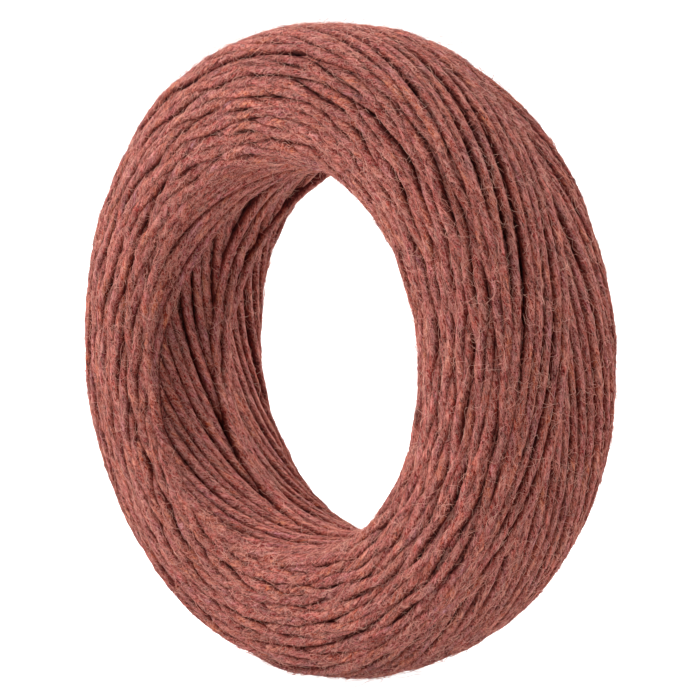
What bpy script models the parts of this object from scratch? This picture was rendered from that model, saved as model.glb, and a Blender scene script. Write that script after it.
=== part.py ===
"""Coil of waxed linen cord: one wound ring that stands on its rim. Metres, +Z up.

The ring's axis lies along Y, and the origin is on the floor under its middle. Angles round the
ring start at +X and grow over the top. The cord is wound with a traverse: each turn crosses from
one face to the other and back, a little further round the ring than the turn before it. So two
bands of slanted strands show on the rim, and two in the bore, one band lying over the other. On
the faces, where the cord turns round, the strands run along the ring.
"""

import math

import bmesh
import bpy

# The wound ring
OUTER_DIAMETER = 0.052
INNER_DIAMETER = 0.029
WIDTH = 0.0145
RIM_SQUARENESS = 2.9      # exponent of the superellipse that the outer half of the section follows
BORE_SQUARENESS = 3.2     # the same for the half towards the bore

# The cord's lay. A strand is a ridge, three rows of points wide: two on its crown, one in a furrow
STRANDS_ROUND_SECTION = 32
ROWS_PER_STRAND = 3
CROWN_HEIGHT = 0.00010
FURROW_DEPTH = 0.00022
STATIONS = 60             # a slanted strand moves over by one row from each station to the next
FACE_SHARE = 0.82         # past this share of the half width a strand belongs to a face
BAND_STEP = 0.0008        # how far the newest turn stands above the oldest that still shows

# Where the band's edge turn leaves the -Y face, and which way round the ring it was wound
BANDS = {
    # side   (angle_deg, way)
    "rim":  (-70.0, 1),
    "bore": (190.0, -1),
}

# The weight of the ring has pressed its rim flat where it rests
FLAT_DEPTH = 0.0004

# Swellings and hollows of the hand-finished coil, on the rim's half or the bore's
SOFT_LUMPS = (
    # side   angle_deg  spread_deg  height
    ("rim",   128.0,     16.0,      -0.00025),
    ("rim",   158.0,     14.0,       0.00020),
    ("rim",    62.0,     20.0,       0.00015),
    ("rim",   -32.0,     18.0,       0.00015),
    ("bore",   35.0,     24.0,       0.00020),
    ("bore",  205.0,     22.0,      -0.00020),
)

CORD_RED = (0.33, 0.105, 0.08, 1.0)
CORD_ROUGHNESS = 0.72

ROWS = STRANDS_ROUND_SECTION * ROWS_PER_STRAND
INNER_RADIUS = INNER_DIAMETER / 2
OUTER_RADIUS = OUTER_DIAMETER / 2
HALF_WIDTH = WIDTH / 2
HALF_DEPTH = (OUTER_RADIUS - INNER_RADIUS) / 2
MIDDLE_RADIUS = (OUTER_RADIUS + INNER_RADIUS) / 2
AXIS_HEIGHT = OUTER_RADIUS - FLAT_DEPTH
FINENESS = 40             # fine steps of the section's outline for each row


def new_collection(name):
    """An empty scene with one collection for the object."""
    for old in list(bpy.data.objects):
        bpy.data.objects.remove(old, do_unlink=True)
    collection = bpy.data.collections.new(name)
    bpy.context.scene.collection.children.link(collection)
    return collection


def cord_material():
    """The waxed linen's plain finish."""
    material = bpy.data.materials.new("waxed_linen")
    material.use_nodes = True
    shader = material.node_tree.nodes["Principled BSDF"]
    shader.inputs["Base Color"].default_value = CORD_RED
    shader.inputs["Roughness"].default_value = CORD_ROUGHNESS
    shader.inputs["Metallic"].default_value = 0.0
    material.diffuse_color = CORD_RED
    return material


def wrapped(degrees):
    """The same angle between -180 and 180."""
    return (degrees + 180.0) % 360.0 - 180.0


def section_point(angle):
    """(outwards, sideways) from the section's middle, at a superellipse angle."""
    cosine = math.cos(angle)
    sine = math.sin(angle)
    power = 2 / (RIM_SQUARENESS if cosine >= 0 else BORE_SQUARENESS)
    outwards = HALF_DEPTH * math.copysign(abs(cosine) ** power, cosine)
    sideways = HALF_WIDTH * math.copysign(abs(sine) ** power, sine)
    return outwards, sideways


def even_section():
    """The section's outline, a point and its normal for each row, the rows evenly spaced.

    It starts on the middle of the rim and goes by the +Y face, the bore and the -Y face.
    """
    steps = ROWS * FINENESS
    fine = [section_point(2 * math.pi * k / steps) for k in range(steps + 1)]
    walked = [0.0]
    for here, after in zip(fine, fine[1:]):
        walked.append(walked[-1] + math.dist(here, after))
    outline = []
    k = 0
    for row in range(ROWS):
        wanted = walked[-1] * row / ROWS
        while walked[k + 1] < wanted:
            k += 1
        share = (wanted - walked[k]) / (walked[k + 1] - walked[k])
        along = (fine[k + 1][0] - fine[k][0], fine[k + 1][1] - fine[k][1])
        length = math.hypot(*along)
        point = (fine[k][0] + share * along[0], fine[k][1] + share * along[1])
        outline.append((point, (along[1] / length, -along[0] / length)))
    return outline


def side_of(point):
    """Which side of the section a point lies on: its rim, its bore or a face."""
    outwards, sideways = point
    if abs(sideways) > FACE_SHARE * HALF_WIDTH:
        return "face"
    return "rim" if outwards > 0 else "bore"


def lay_at(point, angle_deg):
    """The strand that shows at a place: (rows it moves over by at each station, its burial).

    A crossing takes half a turn. Burial is the share of a whole round of turns that lies between
    this strand and the one that the band ends with: 0 for that edge strand itself.
    """
    side = side_of(point)
    if side == "face":
        return 0, 0.5
    start, way = BANDS[side]
    crossed = 90.0 * (1 + point[1] / (FACE_SHARE * HALF_WIDTH))
    offset = way * wrapped(angle_deg - start)
    outward_bound = abs(offset) > crossed
    buried = (offset - crossed if outward_bound else offset + crossed) % 360.0
    towards_plus_y = way if outward_bound else -way
    rows_run_to_plus_y = 1 if side == "rim" else -1
    return towards_plus_y * rows_run_to_plus_y, buried / 360.0


def lump_height(point, angle_deg):
    """How far the uneven coil swells out there."""
    height = 0.0
    for side, lump_angle, spread, lump in SOFT_LUMPS:
        if (side == "rim") == (point[0] > 0):
            height += lump * math.exp(-((wrapped(angle_deg - lump_angle) / spread) ** 2))
    return height * abs(point[0]) / HALF_DEPTH


def raised(point, station, row):
    """How far a point of the mesh stands out of the smooth section."""
    angle_deg = angle_of(station)
    slant, buried = lay_at(point, angle_deg)
    in_furrow = (row - slant * station) % ROWS_PER_STRAND == 0
    strand = -FURROW_DEPTH if in_furrow else CROWN_HEIGHT
    return strand + BAND_STEP * (0.5 - buried) + lump_height(point, angle_deg)


def angle_of(station):
    """A station's angle in degrees. The first is at the foot of the ring."""
    return 360.0 * station / STATIONS - 90.0


def wound_ring(collection):
    """The wound body: a torus whose points are moved onto the coil's section and strands."""
    bpy.ops.mesh.primitive_torus_add(
        major_segments=STATIONS, minor_segments=ROWS,
        major_radius=MIDDLE_RADIUS, minor_radius=HALF_DEPTH)
    ring = bpy.context.active_object
    ring.name = "wound_cord"
    for owner in list(ring.users_collection):
        owner.objects.unlink(ring)
    collection.objects.link(ring)

    outline = even_section()
    body = bmesh.new()
    body.from_mesh(ring.data)
    for vertex in body.verts:
        station, row = divmod(vertex.index, ROWS)
        point, normal = outline[row]
        height = raised(point, station, row)
        angle = math.radians(angle_of(station))
        radius = MIDDLE_RADIUS + point[0] + normal[0] * height
        vertex.co.x = radius * math.cos(angle)
        vertex.co.y = point[1] + normal[1] * height
        vertex.co.z = max(AXIS_HEIGHT + radius * math.sin(angle), 0.0)
    split_along_strands(body, outline)
    # The torus lay round Z and the ring lies round Y, which turned its faces inwards
    bmesh.ops.reverse_faces(body, faces=body.faces)
    body.to_mesh(ring.data)
    body.free()
    ring.data.shade_smooth()
    ring.data.materials.append(cord_material())
    return ring


def next_of(pair, count):
    """Two neighbouring places on a closed row of places, in order, past its end too."""
    low, high = sorted(pair)
    return (high, low) if (low, high) == (0, count - 1) else (low, high)


def split_along_strands(body, outline):
    """Cuts each quad along the way that its strand runs, so that ridges and furrows are unbroken."""
    for quad in list(body.faces):
        corners = {divmod(vertex.index, ROWS): vertex for vertex in quad.verts}
        here, after = next_of({station for station, _ in corners}, STATIONS)
        low, high = next_of({row for _, row in corners}, ROWS)
        slant, _ = lay_at(outline[low][0], angle_of(here))
        if slant > 0:
            bmesh.utils.face_split(quad, corners[here, low], corners[after, high])
        else:
            bmesh.utils.face_split(quad, corners[here, high], corners[after, low])


wound_ring(new_collection("coil_of_waxed_linen_cord"))
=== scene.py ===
"""Looks of the coil of waxed linen cord: every turn of the cord, its stray fibres and a studio.

Metres, +Z up. The coil's axis lies along Y, and angles round it start at +X and grow over the top.
The cord is wound from the bore outwards. After a few plain turns, each lap crosses from the -Y face
to the +Y face and back. It takes a little more than one turn to do it, so that the next lap lies
beside it. Strands that cross one way therefore lie on strands that cross the other way, layer on
layer. Seen from the bore, the first laps go out behind the strands that come back.
"""

import math

import bpy
import numpy as np
from mathutils import Matrix, Vector
from mathutils.bvhtree import BVHTree


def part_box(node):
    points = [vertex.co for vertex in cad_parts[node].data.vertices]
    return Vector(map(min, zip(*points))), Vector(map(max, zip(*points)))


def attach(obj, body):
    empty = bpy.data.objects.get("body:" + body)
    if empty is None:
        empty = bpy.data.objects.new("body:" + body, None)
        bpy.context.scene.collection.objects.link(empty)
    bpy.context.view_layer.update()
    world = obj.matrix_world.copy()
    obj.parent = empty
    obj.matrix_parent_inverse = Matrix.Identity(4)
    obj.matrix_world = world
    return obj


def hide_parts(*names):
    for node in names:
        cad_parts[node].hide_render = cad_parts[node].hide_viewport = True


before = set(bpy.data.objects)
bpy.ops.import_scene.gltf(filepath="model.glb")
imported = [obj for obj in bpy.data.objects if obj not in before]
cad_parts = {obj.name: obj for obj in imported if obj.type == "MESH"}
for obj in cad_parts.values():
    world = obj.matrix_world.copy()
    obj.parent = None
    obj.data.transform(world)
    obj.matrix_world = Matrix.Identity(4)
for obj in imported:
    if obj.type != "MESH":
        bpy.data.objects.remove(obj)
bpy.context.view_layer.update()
NODE = "wound_cord"
RANDOM = np.random.default_rng(52)

# The ring, nearly as in the part
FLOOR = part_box(NODE)[0][2]
OUTER_RADIUS = 0.0264
INNER_RADIUS = 0.0142
HALF_WIDTH = 0.00735
AXIS_HEIGHT = FLOOR + 0.0256
RIM_CUT = 0.36            # how much the rim's corners are rounded off, from 0, square, to 1, round
BORE_CUT = 0.33

# The winding: a few plain turns in the bore, and then laps that cross to the +Y face and back
PLAIN_TURNS = 3.3         # up to the end of the first crossing, at the -Y face
PLAIN_DRIFT_TURNS = (0.0, 1.0, PLAIN_TURNS - 0.8)
PLAIN_DRIFT = (0.0, 0.07, 0.50)  # how far across the plain turns are by then
PLAIN_LAYER = 0.15
PLAIN_END = -0.6          # turns from the first lap, where the cord begins to climb
MERGE_START = -1.1        # turns from the first lap, where the plain turns start to cross
MERGE_TURNS = 0.5
LAPS = 166
LAP_TURNS = 171.972       # turns round the ring that all the laps take
FIRST_LAP_ANGLE = 279.6   # degrees: where the first lap leaves the -Y face
HIDDEN_LAPS = 6           # the first laps go out behind the strands that come back
HIDDEN_LIFT = 1.6         # layers
STEPS_PER_TURN = 84
DWELL = 11.5              # degrees of a lap either side of a face that a strand runs along it
SOFTNESS = 3.8            # degrees over which a strand turns in from a face
DROP = 5.5                # degrees either side of a face in which a strand drops by a layer
LAYERS = 2 * (LAP_TURNS - LAPS)  # one out and one back each time the laps have gone round the ring
LOWEST_LAYER = 0.1        # that a strand may lie in on its way out
LOWEST_STEP = 0.5         # more on its way back
LOWEST_CHANGE = 3.0       # how suddenly the one becomes the other
PRESSED_LAYERS = 2.0      # the outermost layers, which the tension presses together
TOP_GIVE = 3.0            # layers that they would take up at most, however many were wound on
TUCK_DEPTH = 2.2          # layers that each end of the cord is tucked in under its neighbours
TUCK_TURNS = 0.12

# Unevenness: how much, and every how many turns of the ring it changes
LAP_NOISE = ((3.2, 1.7), (1.6, 0.23))       # degrees of a lap
ACROSS_NOISE = ((0.02, 0.5),)               # of the way across
LAYER_NOISE = ((0.14, 0.07), (0.12, 0.4))   # layers
SIDEWAYS_NOISE = ((0.00010, 0.03),)         # metres
THICKNESS_NOISE = ((0.09, 0.12), (0.10, 0.03))  # of the strand's thickness

# The cord
SIDES = 8
LAYER_HEIGHT = (OUTER_RADIUS - INNER_RADIUS) / (LAYERS + 0.5)
HALF_HEIGHT = 0.53 * LAYER_HEIGHT  # a little over half, so that the layers press into each other
STRAND_HALF_WIDTH = 0.00043
STRAND_SQUARENESS = 2.4   # from 2, round
RIM_SPREAD, FACE_SPREAD = -0.12, 0.04  # how much wider a strand is pressed there
PLIES = 3
PLY_LENGTH = 0.0085       # of one twist
PLY_RELIEF = 0.02         # of the strand's thickness
FACING_STEPS = 9          # steps over which a strand's outer side is evened out
RIM_BIAS = 0.02           # makes a strand in the middle of the section face the rim
PIECES = ("inner_turns", "middle_turns", "outer_turns")
ROW_START, ROW_HEIGHT = 0.04, 0.92  # of a turn's row on the map for painting, with gaps between

# Where loose fibre grows
PLACES_TRIED = 300000
SHOWN_EDGE = 0.75         # of the way from the middle of the ring's section to its skin
BORE_MIDDLE = 0.85        # of the bore's width, where the fibre is sparse
BORE_FUZZ = 0.4           # of the fibre on the rest
CROWN = 0.3               # sine of the angle round a strand, above which the fibre is full
FLANK_FUZZ = 0.12         # of the fibre on a strand's crown
CLEARANCE = 0.0016        # free space that a fibre needs outwards
SKIN_GAP = 0.00003        # between a fibre and what it mustn't touch

# How fibre lies: knots, degrees off the strand, lengths, heights, curl to its length, thickness
FELTED = (4, 24.0, (0.0004, 0.0015), (0.00001, 0.00007), 0.07, 0.000034)
CURLED = (7, 50.0, (0.0008, 0.0020), (0.00003, 0.00012), 0.14, 0.000027)
LOOSER = (7, 50.0, (0.0008, 0.0024), (0.00003, 0.00015), 0.14, 0.000027)
FLYING = (9, 50.0, (0.0014, 0.0036), (0.0001, 0.0005), 0.12, 0.000027)
LONGER = (9, 50.0, (0.0030, 0.0065), (0.0003, 0.0008), 0.16, 0.000027)
WAVES = (0.5, 1.5)        # in a fibre's length
BEND = 0.25               # of its length
RISE_PACE = 0.8           # waves up and down for each wave to the side
RISE = 0.35               # of its height
SUNK = 0.4                # of its thickness, in the strand
NUDGE = 0.01              # to one side, where a fibre points straight outwards
# Name, how many, how they lie, and colour
FIBRES = (
    ("felt_dark", 3000, FELTED, (0.045, 0.004, 0.003)),
    ("felt_brick", 7000, FELTED, (0.180, 0.023, 0.016)),
    ("felt_rose", 6000, FELTED, (0.320, 0.080, 0.060)),
    ("felt_straw", 7000, FELTED, (0.450, 0.190, 0.142)),
    ("curls_pale", 6000, CURLED, (0.55, 0.27, 0.21)),
    ("curls_rose", 6000, LOOSER, (0.38, 0.11, 0.08)),
    ("flyaway_fibres", 1100, FLYING, (0.46, 0.18, 0.135)),
    ("long_fibres", 90, LONGER, (0.46, 0.18, 0.135)))

# The linen's colours from its dark fibres to its pale ones, and what the uneven dye multiplies by
TONES = (
    (0.40, (0.040, 0.0015, 0.0008)),
    (0.47, (0.128, 0.012, 0.007)),
    (0.53, (0.220, 0.035, 0.024)),
    (0.60, (0.382, 0.140, 0.106)))
TINTS = (
    (0.34, (1.14, 1.10, 0.62)),
    (0.44, (1.03, 1.02, 0.94)),
    (0.55, (1.08, 0.80, 0.94)),
    (0.66, (0.86, 0.96, 1.36)))
SHADES = (
    (0.34, (0.78, 0.67, 0.66)),
    (0.66, (1.15, 1.22, 1.24)))
BATCHES = (
    (0.34, (1.10, 0.98, 0.78)),
    (0.50, (1.00, 0.98, 0.98)),
    (0.66, (0.90, 0.94, 1.16)))
# Painted shade and painted highlight: multiplies the colour from dark in the furrow between two
# strands, where shade falls, to paler than the linen on a strand's crown, where light falls
PAINTED_SHADE_AND_HIGHLIGHT = (
    (0.10, (0.15, 0.015, 0.008)),
    (0.40, (0.28, 0.08, 0.055)),
    (0.60, (0.70, 0.52, 0.48)),
    (0.78, (1.09, 1.13, 1.15)))
TINT_AMOUNT = 0.9
HAIR_COLOUR = (0.52, 0.255, 0.205)
HAIR_AMOUNT = 0.55
HAIR_RELIEF = 0.12
PAINTED_SHADE_RAGGEDNESS = 0.8          # of the ragged edge of the painted shade in the furrows
PAINTED_SHADE_SCALE = 0.6         # brings the height round a strand into the range of the painted shade and highlight
BUMP_HEIGHT = 0.00032
MM = 1000.0               # millimetres in a metre: the strand's map and its noise are in millimetres

# Noise on the cord: stretch along it, scale, detail, roughness and distortion
FELT_NOISE = (2.0, 8.5, 4.0, 0.70, 0.5)
STREAK_NOISE = (4.0, 4.6, 3.0, 0.6, 0.0)
HUE_NOISE = (3.0, 0.85, 2.0, 0.6, 0.0)
PATCH_NOISE = (3.0, 0.9, 3.0, 0.6, 0.0)
BATCH_NOISE = (60.0, 2.0, 1.0, 0.5, 0.0)
LONG_HAIR_NOISE, LONG_HAIR_WIDTH = (4.0, 4.2, 2.0, 0.6, 0.6), 0.055
SHORT_HAIR_NOISE, SHORT_HAIR_WIDTH = (1.6, 5.2, 2.0, 0.6, 0.9), 0.050

# The studio. Where the surround is dimmer: azimuth and elevation in degrees, and by how much
SURROUND = 1.25
DIM_SIDES = (
    (100.0, 5.0, 0.90),
    (47.0, 10.0, 0.75))
DIM_FROM, DIM_FULL = 0.42, 0.94  # cosines of the angles off such a side where it starts and is full
FLOOR_HALF = 3.0
FLOOR_GLOW = 1.15
# Name, azimuth and elevation in degrees, distance, size and watts
LAMPS = (
    ("key", -45.0, 30.0, 0.26, 0.10, 1.00),
    ("side", -85.0, 20.0, 0.60, 0.25, 1.9),
    ("back", 150.0, 58.0, 0.60, 0.25, 5.6),
    ("over", -60.0, 55.0, 0.60, 0.25, 0.5))
CAMERA_AZIMUTH, CAMERA_ELEVATION, CAMERA_ROLL = 47.16, 6.37, 0.74
CAMERA_DISTANCE = 0.2076
CAMERA_LENS = 133.3
CAMERA_SHIFT = (0.0236, 0.0020)


def smooth_noise(count, every):
    """A smooth random curve of this many values, about -1 to 1, with a knot at every so many.

    It is a Catmull-Rom spline through random knots.
    """
    knots = RANDOM.uniform(-1.0, 1.0, int(count / every) + 5)
    place = np.arange(count) / every + 1.0
    k = place.astype(int)
    t = place - k
    a, b, c, d = knots[k - 1], knots[k], knots[k + 1], knots[k + 2]
    return 0.5 * (2 * b + (c - a) * t + (2 * a - 5 * b + 4 * c - d) * t**2
                  + (3 * b - a - 3 * c + d) * t**3)


def uneven(values, noises):
    """The values with each noise added: how much, and every how many turns of the ring."""
    for amount, turns in noises:
        values = values + amount * smooth_noise(len(values), turns * STEPS_PER_TURN)
    return values


def unit(vectors):
    """Each row of vectors at length 1."""
    return vectors / np.maximum(np.linalg.norm(vectors, axis=-1, keepdims=True), 1e-12)


def square_to(vectors, along):
    """The part of each vector that is square to its row of along, at length 1."""
    return unit(vectors - along * np.sum(vectors * along, axis=-1, keepdims=True))


def ease(value):
    """From 0 to 1 as the value goes from 0 to 1, with no corner at either."""
    value = np.clip(value, 0.0, 1.0)
    return value * value * (3 - 2 * value)


def traverse(phase):
    """Where each crossing has got to, from -1 at the -Y face to 1 at the other."""
    to_face = 90.0 - np.abs(np.mod(phase, 180.0) - 90.0)
    inwards = SOFTNESS * np.log1p(np.exp((to_face - DWELL) / SOFTNESS)) / (90.0 - DWELL)
    return np.sign(np.sin(np.radians(phase - 90.0))) * (1.0 - inwards)


def cross_over(turn, lap_turn, phase):
    """Where the cord is across the ring: plain turns that drift, then crossings face to face."""
    plain = np.interp(turn, PLAIN_DRIFT_TURNS, PLAIN_DRIFT)
    across = traverse(phase) * uneven(np.ones(len(turn)), ACROSS_NOISE)
    return plain + (across - plain) * ease((lap_turn - MERGE_START) / MERGE_TURNS)


def climb(turn, lap_turn, phase):
    """The cord's layer, from 0 at the bore: one up on each crossing, less the drop at its end."""
    since = np.mod(phase, 180.0)
    past = np.where(since < 90.0, since, since - 180.0)
    drop = ease((past + DROP) / (2 * DROP))
    owed = np.where(np.abs(past) < DROP, drop, 1.0 - ease(since / 180.0))
    sine = np.sin(np.radians(phase))
    lowest = LOWEST_LAYER + LOWEST_STEP * ease(0.5 - LOWEST_CHANGE * sine)
    layer = np.maximum(LAYERS * lap_turn / LAP_TURNS - owed, lowest)

    soft = LAYERS - PRESSED_LAYERS
    pressed = layer - soft
    given = soft + TOP_GIVE * (1.0 - np.exp(-pressed / TOP_GIVE))
    layer = np.where(pressed > 0.0, given, layer)
    layer = np.where(lap_turn < PLAIN_END, PLAIN_LAYER, layer)

    lap = lap_turn * LAPS / LAP_TURNS
    going_out = np.where(np.mod(phase, 360.0) < 180.0, np.abs(sine), 0.0)
    hidden = (lap > 0.0) & (lap < HIDDEN_LAPS)
    layer = layer + np.where(hidden, HIDDEN_LIFT * np.sqrt(going_out), 0.0)
    layer = uneven(layer, LAYER_NOISE)
    layer = layer + TUCK_DEPTH * np.clip(1.0 - turn / TUCK_TURNS, 0.0, 1.0) ** 2
    return layer - TUCK_DEPTH * np.clip(1.0 - (turn[-1] - turn) / TUCK_TURNS, 0.0, 1.0) ** 2


def in_section(layer, across):
    """Depth in the ring's section, from -1 to 1, and metres outwards and sideways from its middle."""
    half_depth = (OUTER_RADIUS - INNER_RADIUS - LAYER_HEIGHT) / 2
    depth = LAYER_HEIGHT * (layer - (LAYERS - 1.0) / 2) / half_depth
    cut = np.where(depth > 0.0, RIM_CUT, BORE_CUT)
    outwards = half_depth * depth * np.sqrt(1.0 - cut * np.clip(across, -1, 1) ** 2)
    sideways = (HALF_WIDTH - STRAND_HALF_WIDTH) * across
    sideways = sideways * np.sqrt(1.0 - cut * np.clip(depth, -1, 1) ** 2)
    return depth, outwards, sideways


def facing(depth, across, ray, axis, along):
    """The side of the strand that faces out of the winding. It turns slowly along the cord."""
    out = (depth**3)[:, None] * ray + (across**3)[:, None] * axis + RIM_BIAS * ray
    out = square_to(out, along)
    kernel = np.ones(FACING_STEPS) / FACING_STEPS
    edge = FACING_STEPS // 2
    padded = np.pad(out, ((edge, edge), (0, 0)), mode="edge")
    out = np.stack([np.convolve(padded[:, k], kernel, mode="valid") for k in range(3)], axis=1)
    return square_to(out, along)


def wind():
    """The cord's centre line and its frame, one row for each step of the winding."""
    count = int((PLAIN_TURNS + LAP_TURNS) * STEPS_PER_TURN) + 1
    turn = np.arange(count) / STEPS_PER_TURN
    lap_turn = turn - PLAIN_TURNS
    phase = uneven(360.0 * (lap_turn * LAPS / LAP_TURNS), LAP_NOISE)
    across = cross_over(turn, lap_turn, phase)
    layer = climb(turn, lap_turn, phase)
    depth, outwards, sideways = in_section(layer, across)

    angle = np.radians(FIRST_LAP_ANGLE) - 2 * np.pi * lap_turn
    radius = (OUTER_RADIUS + INNER_RADIUS) / 2 + outwards
    ray = np.stack([np.cos(angle), np.zeros(count), np.sin(angle)], axis=1)
    axis = np.array([0.0, 1.0, 0.0])
    centre = radius[:, None] * ray + sideways[:, None] * axis
    wander = uneven(np.zeros(count), SIDEWAYS_NOISE)
    centre += (wander * (1.0 - across**2))[:, None] * axis
    centre[:, 2] += AXIS_HEIGHT

    along = unit(np.gradient(centre, axis=0))
    out = facing(depth, across, ray, axis, along)
    length = np.concatenate([[0.0], np.cumsum(np.linalg.norm(np.diff(centre, axis=0), axis=1))])
    return {"centre": centre, "out": out, "along": along, "length": length, "depth": depth,
            "across": across}


def strand_skin(path):
    """Rings of points round the cord: flattened where turns press on each other, softly plied."""
    around = 2 * np.pi * np.arange(SIDES) / SIDES
    cosine, sine = np.cos(around), np.sin(around)
    power = 2 / STRAND_SQUARENESS
    wide = STRAND_HALF_WIDTH * np.sign(cosine) * np.abs(cosine) ** power
    high = HALF_HEIGHT * np.sign(sine) * np.abs(sine) ** power
    thick = uneven(np.ones(len(path["length"])), THICKNESS_NOISE)
    twist = 2 * np.pi * path["length"] / PLY_LENGTH
    ply = 1.0 + PLY_RELIEF * np.cos(PLIES * (around[None, :] - twist[:, None]))
    side = np.cross(path["along"], path["out"])
    scale = (thick[:, None] * ply)[:, :, None]
    spread = 1.0 + RIM_SPREAD * np.clip(path["depth"], -1, 1)
    spread = (spread + FACE_SPREAD * np.clip(path["across"], -1, 1)**4)[:, None, None]
    skin = (path["centre"][:, None, :]
            + scale * spread * wide[None, :, None] * side[:, None, :]
            + scale * high[None, :, None] * path["out"][:, None, :])
    skin[:, :, 2] = np.maximum(skin[:, :, 2], FLOOR)
    return skin


def tube_quads(rings, sides):
    """The faces of a tube: the four corners for each step along it and each side round it."""
    ring = np.arange(rings - 1)[:, None] * sides
    here = np.arange(sides)[None, :]
    after = (here + 1) % sides
    return np.stack([ring + here, ring + sides + here, ring + sides + after, ring + after], axis=2)


def mesh_from(name, points, face_groups, material):
    """A mesh object from an array of points and arrays of faces, one array for each face size."""
    mesh = bpy.data.meshes.new(name)
    corners = np.concatenate([faces.ravel() for faces in face_groups]).astype(np.int32)
    sizes = np.concatenate([np.full(len(faces), faces.shape[1]) for faces in face_groups])
    starts = np.concatenate([[0], np.cumsum(sizes)[:-1]]).astype(np.int32)
    mesh.vertices.add(len(points))
    mesh.vertices.foreach_set("co", points.astype(np.float32).ravel())
    mesh.loops.add(len(corners))
    mesh.loops.foreach_set("vertex_index", corners)
    mesh.polygons.add(len(sizes))
    mesh.polygons.foreach_set("loop_start", starts)
    mesh.update(calc_edges=True)
    mesh.shade_smooth()
    mesh.materials.append(material)
    piece = bpy.data.objects.new(name, mesh)
    bpy.context.scene.collection.objects.link(piece)
    return piece


def add_map(piece, name, begin, end, low, high):
    """A UV map from where each quad begins and ends along the tube, and its two edges round it.

    The corners of the tube's two caps all lie at the map's origin.
    """
    begin, end, low, high = np.broadcast_arrays(begin, end, low, high)
    along = np.stack([begin, end, end, begin], axis=2)
    around = np.stack([low, low, high, high], axis=2)
    corners = np.stack([along, around], axis=3).reshape(-1, 2)
    flat = np.concatenate([corners, np.zeros((2 * SIDES, 2))])
    layer = piece.data.uv_layers.new(name=name)
    layer.uv.foreach_set("vector", flat.astype(np.float32).ravel())


def stretch_of_cord(name, path, skin, first, last, material):
    """One stretch of the cord: a capped tube with two maps, along and round the cord."""
    rings = last - first + 1
    points = skin[first:last + 1].reshape(-1, 3)
    side = np.arange(SIDES)[None, :]
    caps = np.concatenate([side, (rings - 1) * SIDES + side[:, ::-1]])
    piece = mesh_from(name, points, [tube_quads(rings, SIDES).reshape(-1, 4), caps], material)

    length = path["length"][first:last + 1, None] * MM
    low, high = side / SIDES, (side + 1) / SIDES
    add_map(piece, "strand", length[:-1], length[1:], low, high)

    # A row for each turn on a map that colours can be painted on: no two faces share a place there
    rows = math.ceil((rings - 1) / STEPS_PER_TURN)
    row, place = np.divmod(np.arange(rings - 1)[:, None], STEPS_PER_TURN)
    low, high = row + ROW_START + ROW_HEIGHT * low, row + ROW_START + ROW_HEIGHT * high
    add_map(piece, "OFBake", place / STEPS_PER_TURN, (place + 1) / STEPS_PER_TURN,
            low / rows, high / rows)
    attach(piece, "root")
    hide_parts(NODE)


def wind_pieces(path, skin):
    """The three pieces of the winding, each of whole turns but the last."""
    linen = linen_material()
    steps = len(path["length"])
    third = STEPS_PER_TURN * round(steps / STEPS_PER_TURN / 3)
    ends = (0, third, 2 * third, steps - 1)
    for name, first, last in zip(PIECES, ends[:-1], ends[1:]):
        stretch_of_cord(name, path, skin, first, last, linen)


def drawn_places(path, sides, wanted):
    """Random steps and sides of the cord where its fibre may show, most of them on its crown."""
    across, depth = np.abs(path["across"]), path["depth"]
    edge = np.maximum(across, np.abs(depth))
    in_bore = (depth < -SHOWN_EDGE) & (across < BORE_MIDDLE)
    chance = np.where(edge > SHOWN_EDGE, np.where(in_bore, BORE_FUZZ, 1.0), 0.0)
    chance[:2] = chance[-2:] = 0.0
    step = RANDOM.choice(len(chance), wanted, p=chance / chance.sum())
    height = np.sin(2 * np.pi * np.arange(sides) / sides)
    chance = np.where(height > CROWN, 1.0, FLANK_FUZZ)
    side = RANDOM.choice(sides, wanted, p=chance / chance.sum())
    return step, side


def showing(path, skin, wanted):
    """Places on the cord that nothing covers: (where, outwards, along the strand) for each."""
    rings, sides = skin.shape[:2]
    quads = tube_quads(rings, sides).reshape(-1, 4)
    tree = BVHTree.FromPolygons(skin.reshape(-1, 3).tolist(), quads.tolist())
    step, side = drawn_places(path, sides, wanted)
    shift = RANDOM.uniform(0.0, 1.0, (wanted, 1))
    where = skin[step, side] * (1 - shift) + skin[step + 1, side] * shift
    middle = path["centre"][step] * (1 - shift) + path["centre"][step + 1] * shift
    outwards = square_to(where - middle, path["along"][step])
    free = []
    for k in range(wanted):
        start = Vector(where[k] + SKIN_GAP * outwards[k])
        if tree.ray_cast(start, Vector(outwards[k]), CLEARANCE)[0] is not None:
            continue
        if tree.ray_cast(start, Vector(path["out"][step[k]]), 2 * CLEARANCE)[0] is None:
            free.append(k)
    return where[free], outwards[free], path["along"][step[free]]


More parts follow.
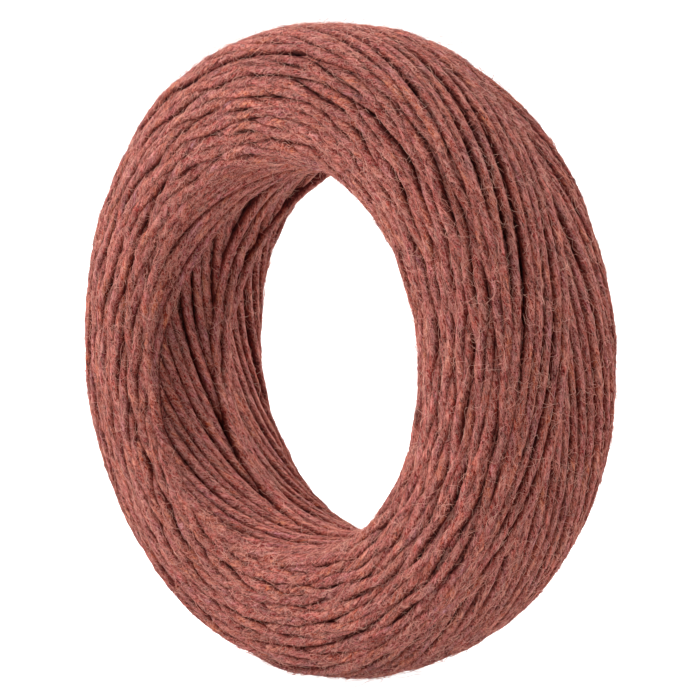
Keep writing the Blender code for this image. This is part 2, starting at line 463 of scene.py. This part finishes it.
def fibre_spines(where, outwards, along, lie):
    """The fibres' curly middle lines, a row of knots for each, and the way to one side of each."""
    knots, spread, lengths, heights, curl, thickness = lie
    count = len(where)
    side = np.cross(along, outwards)
    turn = np.radians(RANDOM.normal(0.0, spread, (count, 1)))
    way = np.cos(turn) * along + np.sin(turn) * side
    beside = np.cross(way, outwards)
    length = RANDOM.uniform(*lengths, (count, 1, 1))
    height = RANDOM.uniform(*heights, (count, 1, 1))
    s = np.linspace(0.0, 1.0, knots)[None, :, None]
    waves = RANDOM.uniform(*WAVES, (count, 1, 1))
    start = RANDOM.uniform(0.0, 2 * np.pi, (count, 1, 1))
    bend = RANDOM.normal(0.0, BEND, (count, 1, 1))
    wave = np.sin(2 * np.pi * waves * s + start) - np.sin(start)
    rise = np.cos(2 * np.pi * waves * s * RISE_PACE + start) - np.cos(start)
    arch = 4 * s * (1 - s)
    spine = (where[:, None, :]
             + length * (s - 0.5) * way[:, None, :]
             + length * (curl * wave + bend * (s - 0.5) ** 2 * 4) * beside[:, None, :]
             + (height * arch * (1 + RISE * rise) - SUNK * thickness) * outwards[:, None, :])
    spine[:, :, 2] = np.maximum(spine[:, :, 2], FLOOR + SKIN_GAP)
    return spine, beside


def fibre_points(spine, outwards, beside, thickness):
    """Each fibre's points: rings of three round its inner knots, then its two ends."""
    run = unit(np.gradient(spine, axis=1))
    first = square_to((outwards + NUDGE * beside)[:, None, :], run)
    second = np.cross(run, first)
    around = 2 * np.pi * np.arange(3) / 3
    ring = (spine[:, 1:-1, None, :]
            + thickness / 2 * np.cos(around)[None, None, :, None] * first[:, 1:-1, None, :]
            + thickness / 2 * np.sin(around)[None, None, :, None] * second[:, 1:-1, None, :])
    points = [ring.reshape(len(spine), -1, 3), spine[:, :1], spine[:, -1:]]
    return np.concatenate(points, axis=1)


def fibre_faces(count, knots):
    """The faces of that many three-sided tubes with pointed ends: (quads, triangles)."""
    rings = knots - 2
    per_fibre = 3 * rings + 2
    base = (np.arange(count) * per_fibre)[:, None, None]
    quads = (base[..., None] + tube_quads(rings, 3)).reshape(-1, 4)
    here = np.arange(3)
    after = (here + 1) % 3
    last = 3 * (rings - 1)
    start = np.stack([np.full(3, 3 * rings), here, after], axis=1)
    end = np.stack([np.full(3, 3 * rings + 1), last + after, last + here], axis=1)
    tips = np.concatenate([(base + start).reshape(-1, 3), (base + end).reshape(-1, 3)])
    return quads, tips


def grow_fibres(path, skin):
    """Fine curly fibres that lie on the cord or stand off it, in a piece for each kind."""
    places = showing(path, skin, PLACES_TRIED)
    used = 0
    for name, wanted, lie, colour in FIBRES:
        where, outwards, along = (rows[used:used + wanted] for rows in places)
        spine, beside = fibre_spines(where, outwards, along, lie)
        points = fibre_points(spine, outwards, beside, lie[-1])
        faces = fibre_faces(len(where), lie[0])
        material = fibre_material(f"linen_{name}", colour)
        piece = mesh_from(name, points.reshape(-1, 3), faces, material)
        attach(piece, "root")
        used += wanted


def node(tree, kind, **inputs):
    """A shader node with its inputs set, by name or as i0, i1: a value, or another's output."""
    made = tree.nodes.new(kind)
    for key, value in inputs.items():
        socket = made.inputs[int(key[1:])] if key[1:].isdigit() else made.inputs[key]
        if isinstance(value, bpy.types.NodeSocket):
            tree.links.new(value, socket)
        else:
            socket.default_value = value
    return made


def maths(tree, operation, a, b=0.0):
    """One sum on two values or outputs."""
    made = node(tree, "ShaderNodeMath", i0=a, i1=b)
    made.operation = operation
    return made.outputs[0]


def ramp(tree, value, stops):
    """A colour for each value, from (value, colour) stops."""
    made = node(tree, "ShaderNodeValToRGB", Fac=value)
    while len(made.color_ramp.elements) < len(stops):
        made.color_ramp.elements.new(0.5)
    for element, (place, colour) in zip(made.color_ramp.elements, stops):
        element.position = place
        element.color = (*colour, 1.0)
    return made.outputs["Color"]


def mix(tree, how, amount, a, b):
    """One colour laid on another."""
    made = tree.nodes.new("ShaderNodeMix")
    made.data_type = "RGBA"
    made.blend_type = how
    for index, value in ((0, amount), (6, a), (7, b)):
        if isinstance(value, bpy.types.NodeSocket):
            tree.links.new(value, made.inputs[index])
        elif index == 0:
            made.inputs[index].default_value = value
        else:
            made.inputs[index].default_value = (*value, 1.0)
    return made.outputs[2]


def lines(tree, value, width):
    """Thin lines, 1 along their middles, where a noise passes 0.5."""
    off = maths(tree, "ABSOLUTE", maths(tree, "SUBTRACT", value, 0.5))
    fall = maths(tree, "DIVIDE", off, width)
    return maths(tree, "MAXIMUM", maths(tree, "SUBTRACT", 1.0, fall), 0.0)


def new_material(name, roughness, specular):
    """A material, with its node tree and its shader."""
    material = bpy.data.materials.new(name)
    material.use_nodes = True
    shader = material.node_tree.nodes["Principled BSDF"]
    shader.inputs["Roughness"].default_value = roughness
    shader.inputs["Specular IOR Level"].default_value = specular
    return material, material.node_tree, shader


def fibre_material(name, colour):
    """Plain linen for loose fibre."""
    material, _, shader = new_material(name, roughness=0.7, specular=0.25)
    shader.inputs["Base Color"].default_value = (*colour, 1.0)
    return material


def strand_place(tree):
    """The place on the strand: millimetres along it, angle round it, and the two ways across it.

    The last two twist with the plies.
    """
    uv = tree.nodes.new("ShaderNodeUVMap")
    uv.uv_map = "strand"
    parts = node(tree, "ShaderNodeSeparateXYZ", Vector=uv.outputs["UV"])
    length, around = parts.outputs["X"], parts.outputs["Y"]
    round_angle = maths(tree, "MULTIPLY", around, 2 * math.pi)
    twist = maths(tree, "MULTIPLY", length, 2 * math.pi / (MM * PLY_LENGTH))
    turned = maths(tree, "SUBTRACT", round_angle, twist)
    half = MM * STRAND_HALF_WIDTH
    across = maths(tree, "MULTIPLY", maths(tree, "COSINE", turned), half)
    upwards = maths(tree, "MULTIPLY", maths(tree, "SINE", turned), half)
    return length, round_angle, across, upwards


def linen_material():
    """Waxed linen: felted fibre, uneven dye in several reds, pale hairs, painted shade in the furrows
    and painted highlight on the strands' crowns.
    """
    material, tree, shader = new_material("waxed_linen_cord", roughness=0.78, specular=0.12)
    length, round_angle, across, upwards = strand_place(tree)

    def noise(stretch, scale, detail, roughness, distortion):
        """Noise in millimetres of cord, stretched so many times along it."""
        drawn = maths(tree, "MULTIPLY", length, 1 / stretch)
        place = node(tree, "ShaderNodeCombineXYZ", X=drawn, Y=across, Z=upwards)
        return node(tree, "ShaderNodeTexNoise", Vector=place.outputs[0], Scale=scale, Detail=detail,
                    Roughness=roughness, Distortion=distortion).outputs["Fac"]

    felt, streaks = noise(*FELT_NOISE), noise(*STREAK_NOISE)
    long_hairs = lines(tree, noise(*LONG_HAIR_NOISE), LONG_HAIR_WIDTH)
    short_hairs = lines(tree, noise(*SHORT_HAIR_NOISE), SHORT_HAIR_WIDTH)
    hairs = maths(tree, "MAXIMUM", long_hairs, short_hairs)
    tone = maths(tree, "MULTIPLY", maths(tree, "ADD", felt, streaks), 0.5)

    colour = ramp(tree, tone, TONES)
    tint = ramp(tree, noise(*HUE_NOISE), TINTS)
    shade = ramp(tree, noise(*PATCH_NOISE), SHADES)
    batch = ramp(tree, noise(*BATCH_NOISE), BATCHES)
    for amount, dye in ((TINT_AMOUNT, tint), (1.0, shade), (1.0, batch)):
        colour = mix(tree, "MULTIPLY", amount, colour, dye)
    colour = mix(tree, "MIX", maths(tree, "MULTIPLY", hairs, HAIR_AMOUNT), colour, HAIR_COLOUR)

    # Painted shade and highlight: the furrows between strands are painted dark and each strand's crown
    # pale, as light falls on them, with a ragged edge
    ragged = maths(tree, "MULTIPLY", felt, PAINTED_SHADE_RAGGEDNESS)
    height = maths(tree, "ADD", maths(tree, "SINE", round_angle), ragged)
    crown = ramp(tree, maths(tree, "MULTIPLY", height, PAINTED_SHADE_SCALE), PAINTED_SHADE_AND_HIGHLIGHT)
    colour = mix(tree, "MULTIPLY", 1.0, colour, crown)
    tree.links.new(colour, shader.inputs["Base Color"])

    relief = maths(tree, "ADD", tone, maths(tree, "MULTIPLY", hairs, HAIR_RELIEF))
    bump = node(tree, "ShaderNodeBump", Height=relief, Strength=1.0, Distance=BUMP_HEIGHT)
    tree.links.new(bump.outputs["Normal"], shader.inputs["Normal"])
    return material


def away(azimuth, elevation):
    """The unit vector from the coil towards a viewer at this azimuth and elevation in degrees."""
    turned, raised = math.radians(azimuth), math.radians(elevation)
    return Vector((math.sin(turned) * math.cos(raised), -math.cos(turned) * math.cos(raised),
                   math.sin(raised)))


def surround():
    """A white world that is dimmer on some sides."""
    world = bpy.data.worlds.new("studio_white")
    world.use_nodes = True
    tree = world.node_tree
    background = tree.nodes.get("Background") or tree.nodes.new("ShaderNodeBackground")
    background.inputs["Color"].default_value = (1.0, 1.0, 1.0, 1.0)
    direction = node(tree, "ShaderNodeTexCoord").outputs["Generated"]
    strength = SURROUND
    for azimuth, elevation, dimming in DIM_SIDES:
        towards = node(tree, "ShaderNodeVectorMath", i0=direction, i1=away(azimuth, elevation))
        towards.operation = "DOT_PRODUCT"
        patch = node(tree, "ShaderNodeMapRange", Value=towards.outputs["Value"])
        patch.interpolation_type = "SMOOTHSTEP"
        limits = (("From Min", DIM_FROM), ("From Max", DIM_FULL), ("To Min", 0.0), ("To Max", dimming))
        for name, value in limits:
            patch.inputs[name].default_value = value
        strength = maths(tree, "SUBTRACT", strength, patch.outputs[0])
    tree.links.new(strength, background.inputs["Strength"])
    bpy.context.scene.world = world


def lit_floor():
    """A white floor, lit from within."""
    white, _, shader = new_material("floor_white", roughness=0.9, specular=0.0)
    shader.inputs["Base Color"].default_value = (0.5, 0.5, 0.5, 1.0)
    shader.inputs["Emission Color"].default_value = (1.0, 1.0, 1.0, 1.0)
    shader.inputs["Emission Strength"].default_value = FLOOR_GLOW
    half = FLOOR_HALF
    square = ((-half, -half), (half, -half), (half, half), (-half, half))
    corners = np.array([[x, y, FLOOR] for x, y in square])
    floor = mesh_from("studio_floor", corners, [np.array([[0, 1, 2, 3]])], white)


def lamp(name, azimuth, elevation, distance, size, watts):
    """A soft round lamp that shines on the middle of the coil."""
    disk = bpy.data.lights.new(name, "AREA")
    disk.shape = "DISK"
    disk.size = size
    disk.energy = watts
    light = bpy.data.objects.new(name, disk)
    back = away(azimuth, elevation)
    light.location = Vector((0, 0, AXIS_HEIGHT)) + distance * back
    light.rotation_euler = back.to_track_quat("Z", "Y").to_euler()
    bpy.context.scene.collection.objects.link(light)


def studio():
    """A floor lit from within, a white surround that is dimmer on two sides, and four soft lamps."""
    bpy.context.scene.view_settings.view_transform = "Standard"
    surround()
    lit_floor()
    for values in LAMPS:
        lamp(*values)


def camera():
    """The photo's view, fitted to the outline of the coil and its bore."""
    data = bpy.data.cameras.new("camera")
    data.lens = CAMERA_LENS
    data.sensor_width = 36.0
    data.shift_x, data.shift_y = CAMERA_SHIFT
    data.clip_start = 0.01
    view = bpy.data.objects.new("camera", data)
    back = away(CAMERA_AZIMUTH, CAMERA_ELEVATION)
    turned, roll = math.radians(CAMERA_AZIMUTH), math.radians(CAMERA_ROLL)
    level = Vector((math.cos(turned), math.sin(turned), 0))
    up = back.cross(level)
    right = level * math.cos(roll) + up * math.sin(roll)
    top = up * math.cos(roll) - level * math.sin(roll)
    place = Vector((0, 0, AXIS_HEIGHT)) + CAMERA_DISTANCE * back
    view.matrix_world = Matrix((
        (right.x, top.x, back.x, place.x),
        (right.y, top.y, back.y, place.y),
        (right.z, top.z, back.z, place.z),
        (0, 0, 0, 1)))
    bpy.context.scene.collection.objects.link(view)
    bpy.context.scene.camera = view


def main():
    """Builds everything."""
    camera()
    studio()
    path = wind()
    skin = strand_skin(path)
    wind_pieces(path, skin)
    grow_fibres(path, skin)


main()
